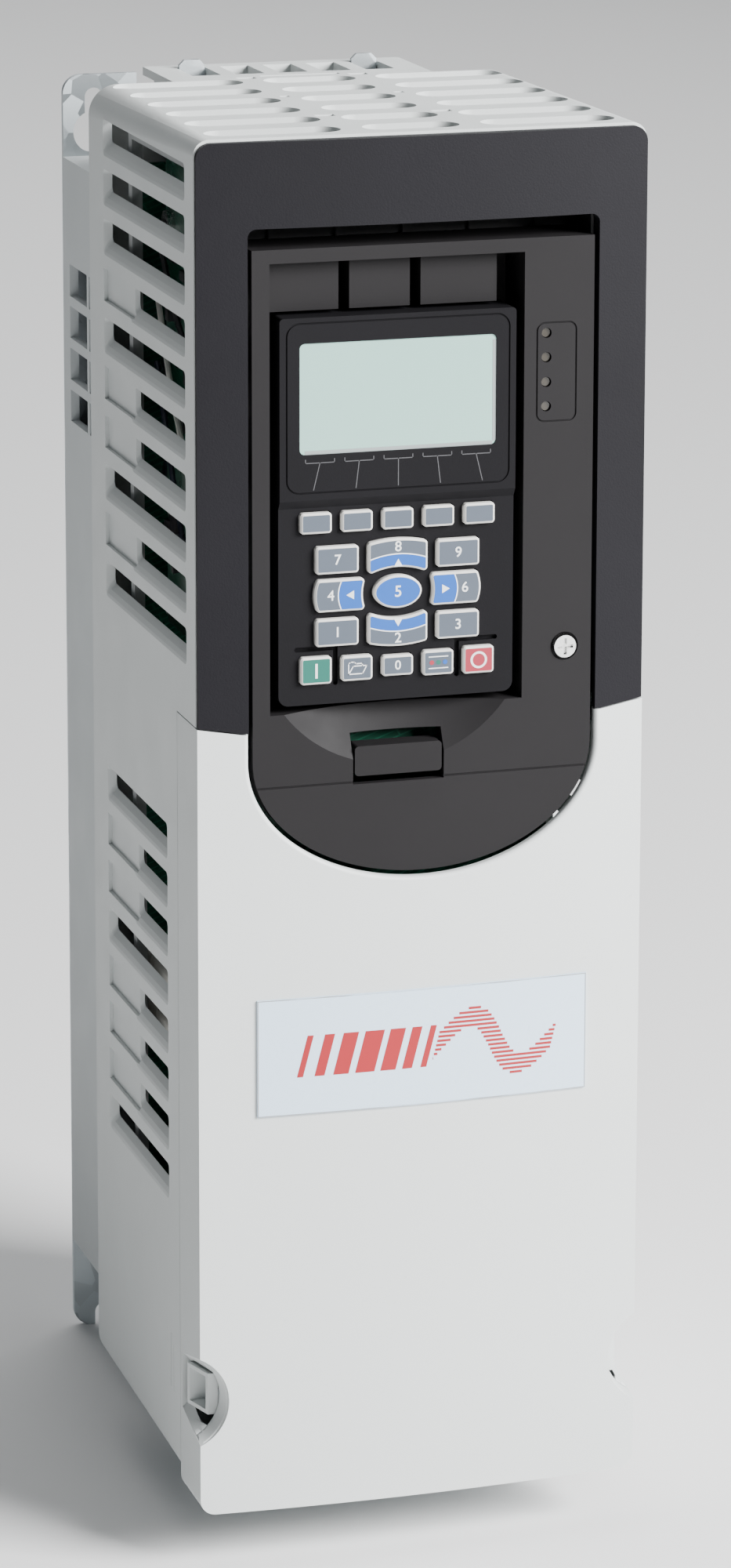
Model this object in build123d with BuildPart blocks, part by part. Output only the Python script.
from build123d import *
from math import sqrt
import os

# Variable frequency drive, wall mounted, with a tilting cradle that holds a removable keypad.
# Frame: +X to the right seen from the front, +Y towards the wall, +Z up. The wall is the plane
# Y = 0 and the bottom of the front cover is Z = 0. A "depth" below is a distance from the wall.

# ---------------------------------------------------------------- driving sizes, mm
body_width = 134.5
body_height = 407.0
overall_depth = 212.0
crown = 3.0                 # how far the middle of the front stands ahead of its edges
wall = 2.6                  # moulded casing wall
gap = 0.4                   # visible gap between casing pieces
corner_rear = 9.0           # casing corner at its rear edge
corner_front = 4.5          # casing corner at the bezel and at the bottom

housing_back = 88.0         # depth of the casing's rear edge
housing_front = overall_depth - 4.8     # depth of the casing's front edge, behind the bezel lip
housing_bottom = 4.5
cover_seam_depth = overall_depth - 25.5
seam_rise = 2.2             # the seam climbs towards the sides
seam_inner_half = 54.0

rear_half = 54.2            # half the width of the heatsink duct
rear_bottom = 12.9
rear_top = body_height - 34.5
plate_thickness = 2.0
plate_top = body_height - 8.6
plate_bottom = -17.2
tab_inner_half = 30.0
tab_corner = 6.0
bolt_half = 44.0            # half the distance between the wall bolts
bolt_slot_half = 2.9
keyhole_radius = 6.7
keyhole_height = plate_top - 18.3
bolt_top_height = plate_top - 7.2
bolt_bottom_height = -13.0

louvre_pitch = 14.9
louvre_height = 10.0
sill_profile = ((0.0, -0.9), (0.12, 0.0), (0.4, 1.3), (1.0, 3.0))  # share of the wall, rise of the sill
louvre_upper_top = body_height - 7.8
louvre_upper_count = 10
louvre_lower_count = 8
louvre_back = 105.0
louvre_front_upper = overall_depth - 14.3
louvre_front_lower = cover_seam_depth - 11.5
louvre_end_slope = 1.0
louvre_corner = 1.6
blank_end = 137.0           # depth where a part-closed opening starts
blanks_upper = (3, 5, 6, 8)
blanks_lower = (1, 2, 4, 5, 6)

vent_length = 40.0
vent_width = 11.5
vent_rows = 6
vent_pitch = 20.4
vent_first_depth = 94.0
vent_outer_half = 61.0
vent_middle_length = 28.6
window_pitch = 13.75
window_width = 9.0
window_back = 58.0
window_front = 77.0
tongue_half = 41.0
tongue_back = 52.0

bezel_top = body_height - 0.8
bezel_opening_top = body_height - 25.4
pod_half = 51.0
pod_gap = 1.3
pod_top = bezel_opening_top - 6.2
pod_straight_bottom = pod_top - 148.4
pod_bottom = pod_straight_bottom - 35.5
pod_front = overall_depth - 2.4
pod_skin = 2.5
pod_wall = 2.0
pod_back = pod_front - 19.6
chin_back = pod_front - 6.6
crease_height = pod_straight_bottom - 7.8
hinge_height = pod_top - 5.4
hinge_depth = pod_front - 9.6
hinge_pin_radius = 2.0
hinge_clearance = 0.3
hinge_pin_reach = 2.2
cover_top = pod_straight_bottom + 8.6
louvre_lower_top = cover_top - 34.3

keypad_x = -7.9
keypad_top = pod_top - 19.7
keypad_bottom = keypad_top - 112.9
keypad_step = keypad_top - 52.7     # where the display panel ends and slopes back
keypad_width = 70.4
keypad_front = overall_depth - 1.6
field_front = keypad_front - 1.6    # the key field sits back from the display panel
field_top = keypad_step - 2.5
keypad_back = keypad_front - 17.4
keypad_wall = 2.0
well_half = keypad_width / 2 + 2.7
well_top = pod_top - 4.0
well_bottom = keypad_bottom - 2.2

display_width = 58.6
display_top = keypad_top - 7.4
display_bottom = display_top - 32.1

key_front = field_front + 1.8
key_depth = 4.4
key_clearance = 0.3
key_corner = 1.0
key_edge = 0.5
mat_thickness = 0.5
board_thickness = 1.6

# ---------------------------------------------------------------- derived sizes
body_half = body_width / 2
edge_depth = overall_depth - crown
crown_radius = (body_half**2 + crown**2) / (2 * crown)
inner_half = body_half - wall
cutout_half = pod_half + pod_gap
plate_half = rear_half - 0.2


def front(depth):
    """Sketch plane parallel to the wall; it extrudes towards the front."""
    return Plane.XZ.offset(depth)


def side(x):
    """Sketch plane parallel to the casing's sides; sketch x is -depth, sketch y is height."""
    return Plane.YZ.offset(x)


def level(z):
    return Plane.XY.offset(z)


def save(builder, name):
    builder.part.label = name
    export_step(builder.part, f"parts/{name}.step")


def bar(x0, x1, depth0, depth1, z0, z1, mode=Mode.ADD):
    """Box between two widths, two depths and two heights, added to the part being built."""
    with BuildSketch(front(depth0)) as outline:
        with Locations(((x0 + x1) / 2, (z0 + z1) / 2)):
            Rectangle(x1 - x0, z1 - z0)
    extrude(outline.sketch, amount=depth1 - depth0, mode=mode)


def rounded_bar(x0, x1, depth0, depth1, z0, z1, radius, mode=Mode.ADD):
    """The same with its corners rounded as seen from the front."""
    with BuildSketch(front(depth0)) as outline:
        with Locations(((x0 + x1) / 2, (z0 + z1) / 2)):
            RectangleRounded(x1 - x0, z1 - z0, radius)
    extrude(outline.sketch, amount=depth1 - depth0, mode=mode)


def rod(x, z, depth0, depth1, radius, mode=Mode.ADD):
    """Round bar or hole along the depth."""
    with BuildSketch(front(depth0)) as outline:
        with Locations((x, z)):
            Circle(radius)
    extrude(outline.sketch, amount=depth1 - depth0, mode=mode)


def cone(x, z, depth0, depth1, radius0, radius1, mode=Mode.ADD):
    """Round boss or dish along the depth whose radius changes from one end to the other."""
    rims = []
    for depth, radius in ((depth0, radius0), (depth1, radius1)):
        with BuildSketch(front(depth)) as rim:
            with Locations((x, z)):
                Circle(radius)
        rims.append(rim.sketch.face())
    loft(rims, ruled=True, mode=mode)


def crowned(half, depth_back, inset, z0, z1, mode=Mode.ADD):
    """Slab from a flat back to the crowned front surface, set back from it by inset."""
    radius = crown_radius - inset
    edge = overall_depth - inset - (radius - sqrt(radius**2 - half**2))
    with BuildSketch(level(z0)) as outline:
        with BuildLine():
            Line((half, -depth_back), (half, -edge))
            ThreePointArc((half, -edge), (0, -(overall_depth - inset)), (-half, -edge))
            Line((-half, -edge), (-half, -depth_back))
            Line((-half, -depth_back), (half, -depth_back))
        make_face()
    extrude(outline.sketch, amount=z1 - z0, mode=mode)


def seam_outline(half, far, near, direction):
    """Outline from the climbing seam (near) to a far edge with rounded corners; direction is +1 above it."""
    seam_side = near + seam_rise * (half - seam_inner_half) / (body_half - seam_inner_half)
    with BuildLine() as outline:
        Polyline(
            (-half, seam_side), (-seam_inner_half, near), (seam_inner_half, near), (half, seam_side),
            (half, far - direction * corner_front),
        )
        RadiusArc((half, far - direction * corner_front), (half - corner_front, far), -direction * corner_front)
        Line((half - corner_front, far), (corner_front - half, far))
        RadiusArc((corner_front - half, far), (-half, far - direction * corner_front), -direction * corner_front)
        Line((-half, far - direction * corner_front), (-half, seam_side))
    make_face(outline.edges())


def rounded_block(half, z0, z1, depth0, depth1):
    """Lofted casing block whose top corners tighten from the rear to the front."""
    outlines = []
    for depth, corner in ((depth0, corner_rear), (depth1, corner_front)):
        with BuildSketch(front(depth)) as outline:
            with Locations((0, (z0 + z1) / 2)):
                RectangleRounded(2 * half, z1 - z0, corner)
        outlines.append(outline.sketch.face())
    loft(outlines)


def louvre_tops(first, count):
    return [first - i * louvre_pitch for i in range(count)]


def louvre_cutter(x_out, x_in, top, back, front_end):
    """One cooling opening: its sill rounds over at the skin and then climbs through the wall."""
    outlines = []
    for share, rise in sill_profile:
        y_back = -(back + louvre_end_slope * share)
        z_low = top - louvre_height + rise
        with BuildSketch(side(x_out + (x_in - x_out) * share)) as outline:
            with Locations(((y_back - front_end) / 2, (top + z_low) / 2)):
                RectangleRounded(y_back + front_end, top - z_low, louvre_corner)
        outlines.append(outline.sketch.face())
    loft(outlines, ruled=True, mode=Mode.SUBTRACT)


os.makedirs("parts", exist_ok=True)

# ================================================================ wall plate and heatsink duct
# Galvanised plate with two keyhole tabs at the top and two open slots at the bottom.
with BuildPart() as mount_plate:
    with BuildSketch(front(0)):
        with Locations((0, (plate_top + plate_bottom) / 2)):
            RectangleRounded(2 * plate_half, plate_top - plate_bottom, tab_corner)
        with Locations((0, plate_top)):
            Rectangle(2 * tab_inner_half, 2 * (plate_top - rear_top), mode=Mode.SUBTRACT)
        with Locations((0, plate_bottom)):
            Rectangle(2 * tab_inner_half, 2 * (-3.0 - plate_bottom), mode=Mode.SUBTRACT)
        for x in (-bolt_half, bolt_half):
            with Locations((x, keyhole_height)):
                Circle(keyhole_radius, mode=Mode.SUBTRACT)
            with Locations((x, (keyhole_height + bolt_top_height) / 2)):
                Rectangle(2 * bolt_slot_half, bolt_top_height - keyhole_height, mode=Mode.SUBTRACT)
            with Locations((x, bolt_top_height), (x, bolt_bottom_height)):
                Circle(bolt_slot_half, mode=Mode.SUBTRACT)
            with Locations((x, bolt_bottom_height - 5)):
                Rectangle(2 * bolt_slot_half, 10, mode=Mode.SUBTRACT)
    extrude(amount=plate_thickness)
save(mount_plate, "mount_plate")

duct_wall = 2.8
side_window_tops = [rear_top - 33.1 - 13.4 * i for i in range(4)]
side_window_height = 10.2
side_window_columns = ((9.6, 31.6), (34.0, 56.0), (58.4, 80.4))
# Light grey moulding round the heatsink, open to the wall plate, with a chimney at the top.
with BuildPart() as rear_shroud:
    bar(-rear_half, rear_half, plate_thickness, housing_back, rear_bottom, rear_top)
    bar(-tongue_half + 2.9, tongue_half - 2.9, tongue_back + 2.5, housing_back, rear_top - 1, body_height - wall - 0.6)
    inner = rear_half - duct_wall
    bar(-inner, inner, plate_thickness, housing_back, rear_bottom + duct_wall, rear_top - duct_wall, Mode.SUBTRACT)
    chimney = tongue_half - 2.9 - duct_wall
    bar(-chimney, chimney, tongue_back + 4.5, housing_back - 2, rear_top - 5, body_height, Mode.SUBTRACT)
    for i in range(-3, 4):
        bar(13 * i - 4.5, 13 * i + 4.5, 8, 82, rear_bottom - 1, rear_bottom + 5, Mode.SUBTRACT)
    for top in side_window_tops:
        for depth0, depth1 in side_window_columns:
            bar(-rear_half - 1, -inner + 1, depth0, depth1, top - side_window_height, top, Mode.SUBTRACT)
            bar(inner - 1, rear_half + 1, depth0, depth1, top - side_window_height, top, Mode.SUBTRACT)
save(rear_shroud, "rear_shroud")

clip_half = 4.0
clip_back = tongue_back + 4.5
clip_low = body_height - 22.0
clip_top = body_height + 2.6
with BuildPart() as duct_clips:
    for x in (-2 * window_pitch, 2 * window_pitch):
        bar(x - clip_half, x + clip_half, clip_back + 1.9, clip_back + 3.4, clip_low, clip_top)
        bar(x - clip_half, x + clip_half, clip_back, clip_back + 1.9, clip_low, clip_low + 4)
    chamfer(duct_clips.edges().filter_by(Axis.Y).group_by(Axis.Z)[-1], 1.6)
save(duct_clips, "duct_clips")

fin_count = 15
sink_half = 46.0
sink_bottom = 62.0
sink_top = rear_top - 8.5
sink_base_back = housing_back - 9.0
with BuildPart() as heatsink:
    bar(-sink_half, sink_half, sink_base_back, housing_back + 0.4, sink_bottom, sink_top)
    fin_pitch = (2 * sink_half - 1.6) / (fin_count - 1)
    for i in range(fin_count):
        x = -sink_half + 0.8 + i * fin_pitch
        bar(x - 0.8, x + 0.8, 8, sink_base_back, sink_bottom, sink_top)
save(heatsink, "heatsink")

fan_centre_depth = 45.0
fan_half = 39.0
fan_bottom = 20.0
fan_top = 45.0
fan_bore = 36.5
hub_radius = 15.0
with BuildPart() as fan_frame:
    with BuildSketch(level(fan_bottom)):
        with Locations((0, -fan_centre_depth)):
            RectangleRounded(2 * fan_half, 2 * fan_half, 5)
            Circle(fan_bore, mode=Mode.SUBTRACT)
    extrude(amount=fan_top - fan_bottom)
    with BuildSketch(level(fan_bottom)):
        with Locations((0, -fan_centre_depth)):
            Rectangle(2 * fan_bore + 2, 5)
            Rectangle(5, 2 * fan_bore + 2)
            Circle(hub_radius)
    extrude(amount=3)
    with BuildSketch(level(fan_bottom + 3)):
        with Locations((0, -fan_centre_depth)):
            Circle(2.0)
    extrude(amount=14)
save(fan_frame, "fan_frame")

blade_count = 7
blade_reach = fan_bore - 1.2
with BuildPart() as fan_rotor:
    with BuildSketch(level(fan_bottom + 4)):
        with Locations((0, -fan_centre_depth)):
            Circle(hub_radius)
    extrude(amount=18)
    blade_plane = Plane(origin=(0, -fan_centre_depth, fan_bottom + 13), x_dir=(0, 1, 0), z_dir=(1, 0, 0))
    with BuildSketch(blade_plane.offset(hub_radius - 2)):
        Rectangle(14, 1.8, rotation=35)
    blade = extrude(amount=blade_reach - hub_radius + 1)
    for i in range(1, blade_count):
        add(blade.rotate(Axis((0, -fan_centre_depth, 0), (0, 0, 1)), 360 * i / blade_count))
    with BuildSketch(level(fan_bottom + 3)):
        with Locations((0, -fan_centre_depth)):
            Circle(2.1)
    extrude(amount=15, mode=Mode.SUBTRACT)
save(fan_rotor, "fan_rotor")

# ================================================================ casing
# The casing is one moulding, kept as flat panels that meet face to face inside its corners.
floor_half = 52.0           # opening in the floor for the cable plate
floor_back = 100.0
floor_front = 176.0
mould_mark = 0.4            # fine upright grooves beside the latches
with BuildPart() as casing:
    rounded_block(body_half, housing_bottom, body_height, housing_back, housing_front)
    # rear tongue over the duct
    bar(-tongue_half, tongue_half, tongue_back, housing_back + 1, body_height - wall, body_height)
    with BuildSketch(front(housing_back + wall)):
        with Locations((0, (housing_bottom + body_height) / 2)):
            RectangleRounded(2 * inner_half, body_height - housing_bottom - 2 * wall, corner_front)
    extrude(amount=overall_depth, mode=Mode.SUBTRACT)
    # window in the back wall for the heatsink base
    sink_fit = 1.0
    bar(-sink_half - sink_fit, sink_half + sink_fit, housing_back - 1, housing_back + wall + 1,
        sink_bottom - sink_fit, sink_top + sink_fit, Mode.SUBTRACT)
    # the front cover takes over the lower front
    bar(-body_half - 1, body_half + 1, cover_seam_depth, overall_depth, housing_bottom - 1,
        cover_top + seam_rise + gap, Mode.SUBTRACT)
    # opening in the floor for the cable plate
    bar(-floor_half, floor_half, floor_back, floor_front, housing_bottom - 1, housing_bottom + wall + 1,
        Mode.SUBTRACT)
    for x_out, x_in in ((-body_half - 0.01, -inner_half + 0.01), (body_half + 0.01, inner_half - 0.01)):
        for i, top in enumerate(louvre_tops(louvre_upper_top, louvre_upper_count)):
            start = blank_end if i in blanks_upper else louvre_back
            louvre_cutter(x_out, x_in, top, start, louvre_front_upper)
        for i, top in enumerate(louvre_tops(louvre_lower_top, louvre_lower_count)):
            start = blank_end if i in blanks_lower else louvre_back
            louvre_cutter(x_out, x_in, top, start, louvre_front_lower)
    # shallow recess that closes the rear third of some openings
    recess = 1.2
    blank_tops = [louvre_upper_top - i * louvre_pitch for i in blanks_upper]
    blank_tops += [louvre_lower_top - i * louvre_pitch for i in blanks_lower]
    for top in blank_tops:
        for x0 in (-body_half - 1, body_half - recess):
            bar(x0, x0 + 1 + recess, louvre_back, blank_end + 2, top - louvre_height, top, Mode.SUBTRACT)
    for depth, low, high in ((176.0, 28.0, 45.0), (179.0, 27.5, 42.3)):
        for x0 in (-body_half - 1, body_half - mould_mark):
            bar(x0, x0 + 1 + mould_mark, depth, depth + mould_mark, low, high, Mode.SUBTRACT)
    # cooling slots in the top, three columns wide
    with BuildSketch(level(body_height + 1)):
        for row in range(vent_rows):
            y = -(vent_first_depth + row * vent_pitch)
            centre = vent_outer_half - vent_length / 2
            with Locations((-centre, y), (centre, y)):
                SlotOverall(vent_length, vent_width)
            with Locations((0, y)):
                SlotOverall(vent_middle_length, vent_width)
        hole_x = (vent_outer_half - vent_length + vent_middle_length / 2) / 2
        with Locations((-hole_x, -86), (hole_x, -86), (-hole_x, -169.5), (hole_x, -169.5)):
            Rectangle(5.8, 3.4)
        with Locations((-hole_x, -128), (hole_x, -128)):
            Rectangle(2.8, 2.6)
        with Locations((0, -83)):
            Rectangle(25, 2.4)
        for i in range(-2, 3):
            with Locations((i * window_pitch, -(window_back + window_front) / 2)):
                Rectangle(window_width, window_front - window_back)
    extrude(amount=-wall - 2, mode=Mode.SUBTRACT)
panels = {
    "casing_left": (-body_half - 1, -inner_half, 0, overall_depth, 0, body_height + 1),
    "casing_right": (inner_half, body_half + 1, 0, overall_depth, 0, body_height + 1),
    "casing_top": (-inner_half, inner_half, 0, overall_depth, body_height - wall, body_height + 1),
    "casing_frame": (-inner_half, inner_half, 0, overall_depth, 0, body_height - wall),
}
for name, box in panels.items():
    with BuildPart() as panel:
        add(casing.part)
        bar(*box, Mode.INTERSECT)
    save(panel, name)

lip_half = body_half - 0.25
plug_half = inner_half - gap
plug_back = housing_front - 3.6
bezel_bottom = cover_top + gap
ear_width = 3.2
ear_half = 4.2
with BuildPart() as bezel:
    with BuildSketch(front(housing_front + 0.3)):
        seam_outline(lip_half, bezel_top, bezel_bottom, 1)
    extrude(amount=overall_depth)
    crowned(body_half + 5, housing_front - 5, 0, 0, body_height + 5, Mode.INTERSECT)
    rounded_bar(-plug_half, plug_half, plug_back, housing_front + 0.4, bezel_bottom + 4,
                body_height - wall - gap, corner_front)
    with BuildSketch(front(plug_back - 1)):
        with Locations((0, (bezel_opening_top + bezel_bottom - 20) / 2)):
            RectangleRounded(2 * cutout_half, bezel_opening_top - bezel_bottom + 20, 2.5)
    extrude(amount=20, mode=Mode.SUBTRACT)
    # hinge sockets for the cradle
    for x0, x1 in ((-cutout_half - ear_width, -cutout_half), (cutout_half, cutout_half + ear_width)):
        bar(x0, x1, hinge_depth - ear_half, plug_back + 0.1, hinge_height - ear_half, hinge_height + ear_half)
    with BuildSketch(side(-cutout_half - ear_width - 1)):
        with Locations((-hinge_depth, hinge_height)):
            Circle(hinge_pin_radius + hinge_clearance)
    extrude(amount=2 * (cutout_half + ear_width + 1), mode=Mode.SUBTRACT)
save(bezel, "bezel")

# ================================================================ removable front cover
scallop_height = 34.9
scallop_radius = 14.85      # at the cover's front edge
scallop_back_radius = 10.6
scallop_back = cover_seam_depth + 2.5
scallop_reach = 8.45        # how far the scallop bites into the front
scallop_x = body_half - scallop_reach + scallop_radius
scallop_flare = (scallop_radius - scallop_back_radius) / (edge_depth - scallop_back)
scallop_mouth = scallop_back_radius + scallop_flare * (overall_depth + 1 - scallop_back)
# One moulding again: its panel, and the two shoulders that rise beside the cradle.
with BuildPart() as cover:
    with BuildSketch(front(cover_seam_depth + gap)):
        seam_outline(body_half, 0, cover_top, -1)
    extrude(amount=overall_depth)
    crowned(body_half + 5, cover_seam_depth - 5, 0, -5, cover_top + 20, Mode.INTERSECT)
    crowned(inner_half, cover_seam_depth - 1, wall, wall, cover_top + 10, Mode.SUBTRACT)
    with BuildSketch(front(cover_seam_depth)):
        cut_bottom = pod_bottom - pod_gap
        with Locations((0, (cover_top + 20 + pod_straight_bottom) / 2)):
            Rectangle(2 * cutout_half, cover_top + 20 - pod_straight_bottom)
        with Locations((0, pod_straight_bottom)):
            Ellipse(cutout_half, pod_straight_bottom - cut_bottom)
    extrude(amount=overall_depth, mode=Mode.SUBTRACT)
    for x in (-scallop_x, scallop_x):
        cone(x, scallop_height, scallop_back, overall_depth + 1, scallop_back_radius, scallop_mouth,
             Mode.SUBTRACT)
    fillet(cover.edges().filter_by(GeomType.CIRCLE, reverse=True).filter_by(Axis.Z)
           .group_by(Axis.Y)[0], 1.2)
shoulder_bottom = cut_bottom - 1
for name, x0, x1, z0, z1 in (
    ("front_cover", -body_half - 1, body_half + 1, -1, shoulder_bottom),
    ("cover_shoulder_left", -body_half - 1, 0, shoulder_bottom, body_height),
    ("cover_shoulder_right", 0, body_half + 1, shoulder_bottom, body_height),
):
    with BuildPart() as panel:
        add(cover.part)
        bar(x0, x1, 0, overall_depth + 1, z0, z1, Mode.INTERSECT)
    save(panel, name)

plate_bottom_z = 121.2
plate_top_z = 156.4
label_half = 50.2
with BuildPart() as label_plate:
    with BuildSketch(level(plate_bottom_z)):
        with BuildLine():
            outer_r = crown_radius + 0.6
            edge_in = overall_depth - (crown_radius - sqrt(crown_radius**2 - label_half**2))
            edge_out = overall_depth + 0.6 - (outer_r - sqrt(outer_r**2 - label_half**2))
            Line((label_half, -edge_in), (label_half, -edge_out))
            ThreePointArc((label_half, -edge_out), (0, -overall_depth - 0.6), (-label_half, -edge_out))
            Line((-label_half, -edge_out), (-label_half, -edge_in))
            ThreePointArc((-label_half, -edge_in), (0, -overall_depth), (label_half, -edge_in))
        make_face()
    extrude(amount=plate_top_z - plate_bottom_z)
save(label_plate, "label_plate")

latch_half_height = 6.3
latch_back = scallop_back + 2.6
latch_front = latch_back + 11.1
latch_inset_back = 0.8      # its outer face leans in from the casing's side towards the front
latch_inset_front = 4.0
latch_inset_inner = 7.1
latch_wall = 1.2
latch_floor = 6.0           # bottom of the finger pocket, in from the casing's side
for name, sign in (("cover_latch_left", -1), ("cover_latch_right", 1)):
    with BuildPart() as latch:
        with BuildSketch(level(scallop_height - latch_half_height)):
            with BuildLine():
                Polyline(
                    (sign * (body_half - latch_inset_back), -latch_back),
                    (sign * (body_half - latch_inset_front), -latch_front),
                    (sign * (body_half - latch_inset_inner), -latch_front),
                    (sign * (body_half - latch_inset_inner), -latch_back),
                    close=True,
                )
            make_face()
        extrude(amount=2 * latch_half_height)
        pocket_x = sorted((sign * body_half, sign * (body_half - latch_floor)))
        bar(*pocket_x, latch_back + latch_wall, latch_front - latch_wall,
            scallop_height - latch_half_height + latch_wall, scallop_height + latch_half_height - latch_wall,
            Mode.SUBTRACT)
    save(latch, name)

# ================================================================ inside the casing
post_x = inner_half - 3.2
post_half = 1.6             # half the width of a post, and
post_depth = 4.0            # its depth
rear_post = 119.0
front_post = overall_depth - 12.0
post_top = body_height - 8.0
shelf = cover_top - 9.6
screw_x = 42.9              # the captive screw that holds the cradle
screw_height = keypad_bottom + 12.4
boss_radius = 5.0
boss_hole = 2.9
boss_back = pod_back - 9.0
with BuildPart() as inner_chassis:
    # light grey frame: side posts, a baffle under the top slots and a shelf across the middle
    for sign in (-1, 1):
        x0 = sign * post_x - post_half
        x1 = sign * post_x + post_half
        bar(x0, x1, rear_post, rear_post + post_depth, 12, post_top)
        bar(x0, x1, front_post - post_depth, front_post, 70, post_top)
        bar(x0, x1, rear_post, front_post, 70, 70 + post_depth)
        bar(x0, x1, rear_post, front_post, shelf, shelf + post_depth)
        bar(x0, x1, rear_post, front_post, post_top - 3.5, post_top)
    bar(-post_x, post_x, 92, front_post, post_top - 1.5, post_top)
    bar(-post_x, post_x, rear_post, rear_post + post_depth, shelf, shelf + post_depth)
    bar(-post_x, post_x, cover_seam_depth - 4.5, cover_seam_depth - 0.5, shelf, shelf + post_depth)
    bar(-post_x, post_x, rear_post, rear_post + post_depth, 12, 12 + post_depth)
    # boss for the cradle screw
    rod(screw_x, screw_height, boss_back, boss_back + 6.5, boss_radius)
    bar(screw_x, post_x, boss_back, boss_back + 5, screw_height - 3, screw_height + 3)
    bar(post_x - post_half, post_x + post_half, boss_back, front_post, screw_height - 3, screw_height + 3)
    rod(screw_x, screw_height, boss_back - 1, boss_back + 9, boss_hole, Mode.SUBTRACT)
save(inner_chassis, "inner_chassis")

board_back = housing_back + 13.0    # the power board and everything soldered to it stand from here
board_face = board_back + board_thickness
board_bottom = 40.0
board_top = body_height - 22.0
with BuildPart() as power_board:
    bar(-57, 57, board_back, board_face, board_bottom, board_top)
save(power_board, "power_board")

with BuildPart() as power_module:
    bar(-32, 32, housing_back + 0.4, board_back, 150, 260)
save(power_module, "power_module")

capacitor_radius = 15.0
capacitor_front = 150.0
with BuildPart() as bus_capacitors:
    for x in (-34, 0, 34):
        for drop in (25, 60, 95):
            rod(x, board_top - drop, board_face, capacitor_front, capacitor_radius)
save(bus_capacitors, "bus_capacitors")

with BuildPart() as dc_choke:
    bar(-24, 24, board_face, 146, 96, 140)
save(dc_choke, "dc_choke")

fuse_radius = 4.5
with BuildPart() as fuse_tubes:
    for z in (128, 143):
        for x in (-54, 54):
            rod(x, z, board_face, 152, fuse_radius)
save(fuse_tubes, "fuse_tubes")

side_board_x = 52.0
side_board_back = 126.0
side_board_front = overall_depth - 18.0
side_board_top = body_height - 15.0
side_board_bottom = side_board_top - 142.0
with BuildPart() as side_board:
    bar(-side_board_x - board_thickness, -side_board_x, side_board_back, side_board_front,
        side_board_bottom, side_board_top)
save(side_board, "side_board")

control_back = cover_seam_depth - 8.5
with BuildPart() as control_board:
    bar(-48, 48, control_back, control_back + board_thickness, 150, body_height - 19.0)
save(control_board, "control_board")

terminal_count = 8
terminal_half = 54.0
terminal_front = 150.0
terminal_screw_height = 57.0
terminal_x = [(2 * i + 1 - terminal_count) * terminal_half / terminal_count for i in range(terminal_count)]
with BuildPart() as power_terminals:
    bar(-terminal_half, terminal_half, 112, terminal_front, 40, 62)
    for x in terminal_x:
        bar(x - 5.2, x + 5.2, 128, terminal_front + 1, 39, 52, Mode.SUBTRACT)
        rod(x, terminal_screw_height, terminal_front - 10, terminal_front + 1, 3.2, Mode.SUBTRACT)
save(power_terminals, "power_terminals")

board_screw_head = 4.0
with BuildPart() as inner_screws:
    screw_spots = [(-depth, z) for depth in (side_board_back + 7, side_board_front - 7)
                   for z in (side_board_bottom + 8, side_board_top - 20.5)]
    for y, z in screw_spots:
        head_plane = Plane(origin=(-side_board_x - board_thickness, y, z), z_dir=(-1, 0, 0))
        with BuildSketch(head_plane):
            Circle(board_screw_head)
        extrude(amount=2.2)
    for x in terminal_x:
        rod(x, terminal_screw_height, terminal_front - 10, terminal_front - 4, 2.9)
save(inner_screws, "inner_screws")

strip_count = 12
strip_half = 46.0
with BuildPart() as control_terminals:
    bar(-strip_half, strip_half, control_back - 10, control_back, 152, 166)
    for i in range(strip_count):
        x = (2 * i + 1 - strip_count) * strip_half / strip_count
        bar(x - 2.4, x + 2.4, control_back - 8, control_back - 2, 151, 158, Mode.SUBTRACT)
save(control_terminals, "control_terminals")

entry_radius = 11.2
entry_pitch = 32.0
entry_depth = (floor_back + floor_front) / 2
plate_clearance = 0.3
with BuildPart() as cable_plate:
    with BuildSketch(level(housing_bottom + 0.4)):
        with Locations((0, -entry_depth)):
            Rectangle(2 * (floor_half - plate_clearance), floor_front - floor_back - 2 * plate_clearance)
            with Locations((-entry_pitch, 0), (0, 0), (entry_pitch, 0)):
                Circle(entry_radius, mode=Mode.SUBTRACT)
    extrude(amount=2.0)
save(cable_plate, "cable_plate")

with BuildPart() as ground_studs:
    for x in (-40, -16, 16, 40):
        with BuildSketch(level(housing_bottom + 2.4)):
            with Locations((x, -107)):
                RegularPolygon(3.6, 6)
        extrude(amount=3)
        with BuildSketch(level(housing_bottom + 5.4)):
            with Locations((x, -107)):
                Circle(2)
        extrude(amount=7)
save(ground_studs, "ground_studs")

with BuildPart() as side_label:
    bar(-rear_half - 0.2, -rear_half, 66, 82, 66, 124)
save(side_label, "side_label")

# ================================================================ tilting cradle
keypad_half = keypad_width / 2
led_x = 36.7
led_heights = [display_top - drop for drop in (0.7, 7.8, 15.0, 22.1)]
led_radius = 1.3
led_ring_x = 39.75
led_ring_height = display_top - 12.1
led_ring_size = (12.3, 29.2)
ring_corner = 2.5
ring_width = 0.5
ring_depth = 0.4
rib_x = (-22.6, -1.4)
bowl_radius = 80.0
bowl_mouth = 41.6           # radius of the thumb bowl where it meets the front
bowl_x = keypad_x - 0.5
bowl_height = keypad_bottom + 22.8
bowl_centre = Pos(bowl_x, -pod_front - sqrt(bowl_radius**2 - bowl_mouth**2), bowl_height)
bowl_zone = Pos(bowl_x, -pod_front, well_bottom - 15) * Box(2 * bowl_mouth + 8, 60, 30)
bowl_hollow = bowl_centre * Sphere(bowl_radius) & bowl_zone
bowl_skin = bowl_centre * Sphere(bowl_radius + pod_skin) & bowl_zone
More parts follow.
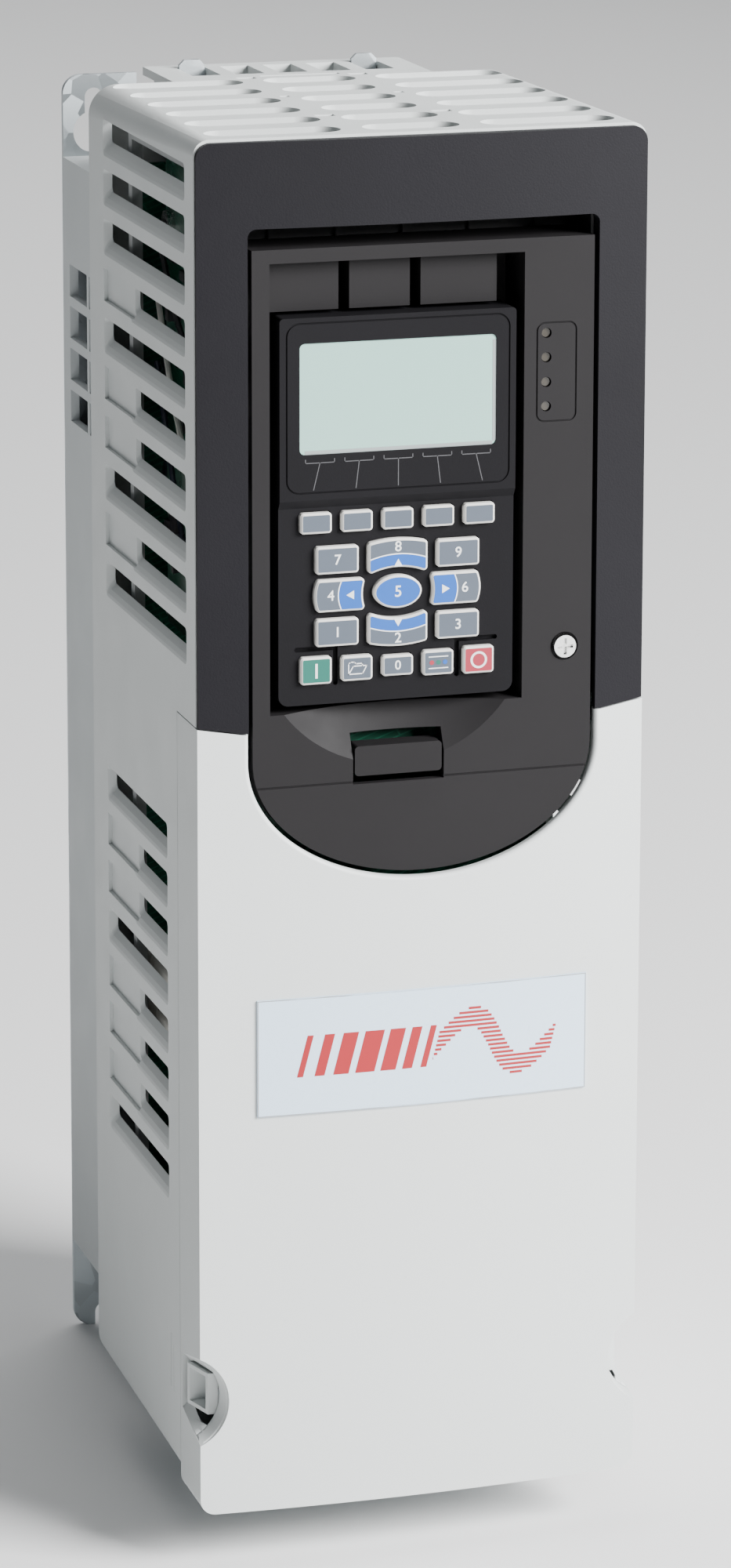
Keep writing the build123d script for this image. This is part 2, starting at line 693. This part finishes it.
bowl_skin = bowl_skin & Pos(0, -pod_front + 10.5, well_bottom - 13) * Box(2 * pod_half - 3, 20, 26)
tab_left = -20.4
tab_right = 5.8
tab_bottom = crease_height + 1.6
tab_top = tab_bottom + 8.8
seat_radius = 4.2
shank_radius = 1.75
head_radius = 3.3
with BuildPart() as control_pod:
    with BuildSketch(front(chin_back)):
        with Locations((0, (pod_top + pod_straight_bottom) / 2)):
            Rectangle(2 * pod_half, pod_top - pod_straight_bottom)
        with Locations((0, pod_straight_bottom)):
            Ellipse(pod_half, pod_straight_bottom - pod_bottom)
    extrude(amount=pod_front - chin_back)
    # deep part behind the straight sides
    bar(-pod_half, pod_half, pod_back, chin_back, pod_straight_bottom - 6, pod_top)
    # hollow both from behind
    bar(-pod_half + pod_wall, pod_half - pod_wall, pod_back - 1, pod_front - pod_skin,
        pod_straight_bottom - 4, pod_top - pod_wall, Mode.SUBTRACT)
    with BuildSketch(front(chin_back - 1)):
        with Locations((0, pod_straight_bottom - 1)):
            Ellipse(pod_half - pod_wall, pod_straight_bottom - 1 - pod_bottom - pod_wall)
    extrude(amount=pod_front - pod_skin - chin_back + 1, mode=Mode.SUBTRACT)
    # well for the keypad, with side walls and a floor
    bar(keypad_x - well_half - pod_wall, keypad_x + well_half + pod_wall, pod_back, pod_front - pod_skin,
        well_bottom - pod_wall, pod_top - 0.5)
    bar(keypad_x - well_half, keypad_x + well_half, pod_back + pod_wall, pod_front + 1,
        well_bottom, well_top, Mode.SUBTRACT)
    # three panels above the keypad, parted by dark gaps
    panel_bottom = keypad_top + 1.2
    edges_x = [keypad_x - well_half, rib_x[0] - 1.6, rib_x[0] + 1.6, rib_x[1] - 1.6, rib_x[1] + 1.6,
               keypad_x + well_half - 7]
    for x0, x1 in zip(edges_x[0::2], edges_x[1::2]):
        bar(x0, x1, pod_back, pod_front - 4.5, panel_bottom, well_top)
    # thumb bowl
    add(bowl_skin)
    add(bowl_hollow, mode=Mode.SUBTRACT)
    # slot for the release tab, below the bowl
    bar(tab_left - 0.6, tab_right + 0.6, pod_back - 1, pod_front + 1, tab_bottom - 2.3, tab_top + 3.4,
        Mode.SUBTRACT)
    # crease across the chin
    bar(-pod_half - 1, pod_half + 1, pod_front - 0.4, pod_front + 1, crease_height - 0.3,
        crease_height + 0.3, Mode.SUBTRACT)
    for z in led_heights:
        rod(led_x, z, pod_front - pod_skin - 2, pod_front + 1, led_radius + 0.2, Mode.SUBTRACT)
    with BuildSketch(front(pod_front - ring_depth)):
        with Locations((led_ring_x, led_ring_height)):
            RectangleRounded(*led_ring_size, ring_corner)
            RectangleRounded(led_ring_size[0] - 2 * ring_width, led_ring_size[1] - 2 * ring_width,
                             ring_corner - ring_width, mode=Mode.SUBTRACT)
    extrude(amount=1, mode=Mode.SUBTRACT)
    # seat and hole for the captive screw
    rod(screw_x, screw_height, pod_front - pod_skin - 3, pod_front - pod_skin + 0.2, seat_radius + 1.2)
    rod(screw_x, screw_height, pod_front - 1.6, pod_front + 1, seat_radius, Mode.SUBTRACT)
    rod(screw_x, screw_height, pod_back - 1, pod_front + 1, shank_radius + 0.35, Mode.SUBTRACT)
    # hinge pins
    for sign in (-1, 1):
        x0 = sign * (pod_half - 1)
        x1 = sign * (cutout_half + hinge_pin_reach)
        with BuildSketch(side(min(x0, x1))):
            with Locations((-hinge_depth, hinge_height)):
                Circle(hinge_pin_radius)
        extrude(amount=abs(x1 - x0))
save(control_pod, "control_pod")

with BuildPart() as status_lights:
    for z in led_heights:
        rod(led_x, z, pod_front - 9.0, pod_front - 0.8, led_radius)
save(status_lights, "status_lights")

with BuildPart() as pod_board:
    bar(32.4, 47, pod_front - 10.6, pod_front - 9.0, screw_height + 6.8, well_top - 5.4)
    bar(-28, 26, pod_back + 6, pod_back + 6 + board_thickness, pod_straight_bottom - 2.5, well_bottom - 3.6)
save(pod_board, "pod_board")

with BuildPart() as pod_screw:
    rod(screw_x, screw_height, boss_back + 0.5, pod_front - 1.5, shank_radius)
    rod(screw_x, screw_height, pod_front - 1.5, pod_front + 0.9, head_radius)
    bar(screw_x - 0.5, screw_x + 0.5, pod_front - 0.1, pod_front + 2, screw_height - 2.4,
        screw_height + 2.4, Mode.SUBTRACT)
    bar(screw_x - 2.4, screw_x + 2.4, pod_front - 0.1, pod_front + 2, screw_height - 0.5,
        screw_height + 0.5, Mode.SUBTRACT)
save(pod_screw, "pod_screw")

with BuildPart() as release_tab:
    rounded_bar(tab_left, tab_right, pod_front - 7.2, pod_front - 0.2, tab_bottom, tab_top, 1.2)
save(release_tab, "release_tab")

# ================================================================ removable keypad
row_heights = [keypad_bottom + rise for rise in (53.4, 42.4, 32.0, 21.2, 10.3)]
small_pitch = 12.2
digit_pitch = 18.1
arrow_pitch = 17.25
small_key = (9.3, 6.0)
icon_key = (9.3, 7.3)
command_key = (9.3, 8.0)
digit_key = (12.8, 8.0)
arch_key = (17.8, 10.4)
wing_key = (15.4, 9.4)
oval_key = (14.4, 9.7)
# name: (shape, column offset, height, size)
keys = {f"key_soft_{i + 1}": ("bar", (i - 2) * small_pitch, row_heights[0], small_key) for i in range(5)}
keys |= {
    "key_7": ("bar", -digit_pitch, row_heights[1], digit_key),
    "key_8": ("arch_down", 0, row_heights[1], arch_key),
    "key_9": ("bar", digit_pitch, row_heights[1], digit_key),
    "key_4": ("wing_left", -arrow_pitch, row_heights[2], wing_key),
    "key_5": ("oval", 0, row_heights[2], oval_key),
    "key_6": ("wing_right", arrow_pitch, row_heights[2], wing_key),
    "key_1": ("bar", -digit_pitch, row_heights[3], digit_key),
    "key_2": ("arch_up", 0, row_heights[3], arch_key),
    "key_3": ("bar", digit_pitch, row_heights[3], digit_key),
    "key_start": ("bar", -2 * small_pitch, row_heights[4], command_key),
    "key_folder": ("bar", -small_pitch, row_heights[4], icon_key),
    "key_0": ("bar", 0, row_heights[4], small_key),
    "key_controls": ("bar", small_pitch, row_heights[4], icon_key),
    "key_stop": ("bar", 2 * small_pitch, row_heights[4], command_key),
}
arch_rise = (1.1, 2.0)       # how far the outer and the inner edge of an arched key bow
wing_rise = (1.0, 0.9)


def key_face(shape, x, z, size, grow, mode=Mode.ADD):
    """Outline of one key, grown by a clearance, in the sketch being drawn."""
    half_w = size[0] / 2 + grow
    half_h = size[1] / 2 + grow
    with Locations((keypad_x + x, z)):
        if shape == "bar":
            RectangleRounded(2 * half_w, 2 * half_h, key_corner + grow, mode=mode)
        elif shape == "oval":
            Ellipse(half_w, half_h, mode=mode)
        else:
            across, along = (half_w, half_h) if shape.startswith("arch") else (half_h, half_w)
            rise, hollow = arch_rise if shape.startswith("arch") else wing_rise
            with BuildSketch(Plane.XY, mode=Mode.PRIVATE) as cap:
                with BuildLine():
                    outer = ThreePointArc((-across, along - rise), (0, along), (across, along - rise))
                    right = Line(outer @ 1, (across, -along))
                    inner_arc = ThreePointArc(right @ 1, (0, -along + hollow), (-across, -along))
                    Line(inner_arc @ 1, outer @ 0)
                make_face()
                fillet(cap.vertices(), 1.1 + grow)
            turn = {"arch_down": 0, "arch_up": 180, "wing_left": 90, "wing_right": -90}[shape]
            add(cap.sketch, rotation=turn, mode=mode)


groove = 0.5
groove_depth = 0.4
overlay_half = keypad_half - 1.8
overlay_bottom = keypad_step + 1.9
overlay_top = keypad_top - 1.4
guard_width = 1.4           # channels that set the start and stop keys apart
guard_depth = 1.4
guard_inner = 18.25
guard_outer = 29.8
guard_top = keypad_bottom + 16.4
guard_bottom = keypad_bottom + 6.1
with BuildPart() as keypad_case:
    with BuildSketch(side(keypad_x - keypad_half)):
        Polygon((-keypad_back, keypad_bottom), (-field_front, keypad_bottom), (-field_front, field_top),
                (-keypad_front, keypad_step), (-keypad_front, keypad_top), (-keypad_back, keypad_top),
                align=None)
    extrude(amount=2 * keypad_half)
    corners = keypad_case.edges().filter_by(Axis.Y)
    fillet(corners.group_by(Axis.Z)[0], 3.0)
    fillet(keypad_case.edges().filter_by(Axis.Y).group_by(Axis.Z)[-1], 1.2)
    bar(keypad_x - keypad_half + keypad_wall, keypad_x + keypad_half - keypad_wall, keypad_back + keypad_wall,
        field_front - keypad_wall, keypad_bottom + keypad_wall, keypad_step + 4, Mode.SUBTRACT)
    bar(keypad_x - keypad_half + keypad_wall, keypad_x + keypad_half - keypad_wall, keypad_back + keypad_wall,
        keypad_front - keypad_wall, keypad_step + 1, keypad_top - keypad_wall, Mode.SUBTRACT)
    rounded_bar(keypad_x - display_width / 2, keypad_x + display_width / 2,
                keypad_front - keypad_wall - 1, keypad_front + 1, display_bottom, display_top,
                1.6, Mode.SUBTRACT)
    with BuildSketch(front(field_front - keypad_wall - 1)):
        for shape, x, z, size in keys.values():
            key_face(shape, x, z, size, key_clearance)
    extrude(amount=keypad_wall + 2, mode=Mode.SUBTRACT)
    with BuildSketch(front(keypad_front - groove_depth)):
        with Locations((keypad_x, (overlay_bottom + overlay_top) / 2)):
            RectangleRounded(2 * overlay_half, overlay_top - overlay_bottom, 4)
            RectangleRounded(2 * (overlay_half - groove), overlay_top - overlay_bottom - 2 * groove,
                             4 - groove, mode=Mode.SUBTRACT)
    extrude(amount=1, mode=Mode.SUBTRACT)
    with BuildSketch(front(field_front - guard_depth)):
        for sign in (-1, 1):
            with Locations((keypad_x + sign * (guard_inner + guard_outer) / 2, guard_top)):
                SlotOverall(guard_outer - guard_inner + guard_width, guard_width)
            with Locations((keypad_x + sign * guard_inner, (guard_top + guard_bottom) / 2)):
                SlotOverall(guard_top - guard_bottom + guard_width, guard_width, rotation=90)
    extrude(amount=guard_depth + 1, mode=Mode.SUBTRACT)
save(keypad_case, "keypad_case")

lens_thickness = 1.2
with BuildPart() as display_lens:
    rounded_bar(keypad_x - display_width / 2, keypad_x + display_width / 2,
                keypad_front - 0.3 - lens_thickness, keypad_front - 0.3, display_bottom, display_top, 1.6)
save(display_lens, "display_lens")

with BuildPart() as display_module:
    bar(keypad_x - display_width / 2 - 2, keypad_x + display_width / 2 + 2, keypad_front - 5.6,
        keypad_front - keypad_wall - 0.1, display_bottom - 3, display_top + 3)
save(display_module, "display_module")

key_back = key_front - key_depth
board_front = key_back - 1.0 - mat_thickness
with BuildPart() as keypad_board:
    bar(keypad_x - 30, keypad_x + 30, board_front - board_thickness, board_front,
        keypad_bottom + 3.4, display_bottom - 5)
    bar(keypad_x - 30, keypad_x + 30, keypad_back + keypad_wall + 0.6,
        keypad_back + keypad_wall + 0.6 + board_thickness, display_bottom - 5, keypad_top - 3.4)
    bar(keypad_x - 30, keypad_x + 30, keypad_back + keypad_wall + 0.6, board_front,
        display_bottom - 6, display_bottom - 5)
save(keypad_board, "keypad_board")

with BuildPart() as key_mat:
    bar(keypad_x - 30, keypad_x + 30, board_front, board_front + mat_thickness,
        keypad_bottom + 3.4, row_heights[0] + 6)
save(key_mat, "key_mat")

for key_name, (shape, x, z, size) in keys.items():
    with BuildPart() as key:
        with BuildSketch(front(key_back)):
            key_face(shape, x, z, size, 0)
        extrude(amount=key_depth)
        chamfer(key.faces().sort_by(Axis.Y)[0].edges(), key_edge)
    save(key, key_name)
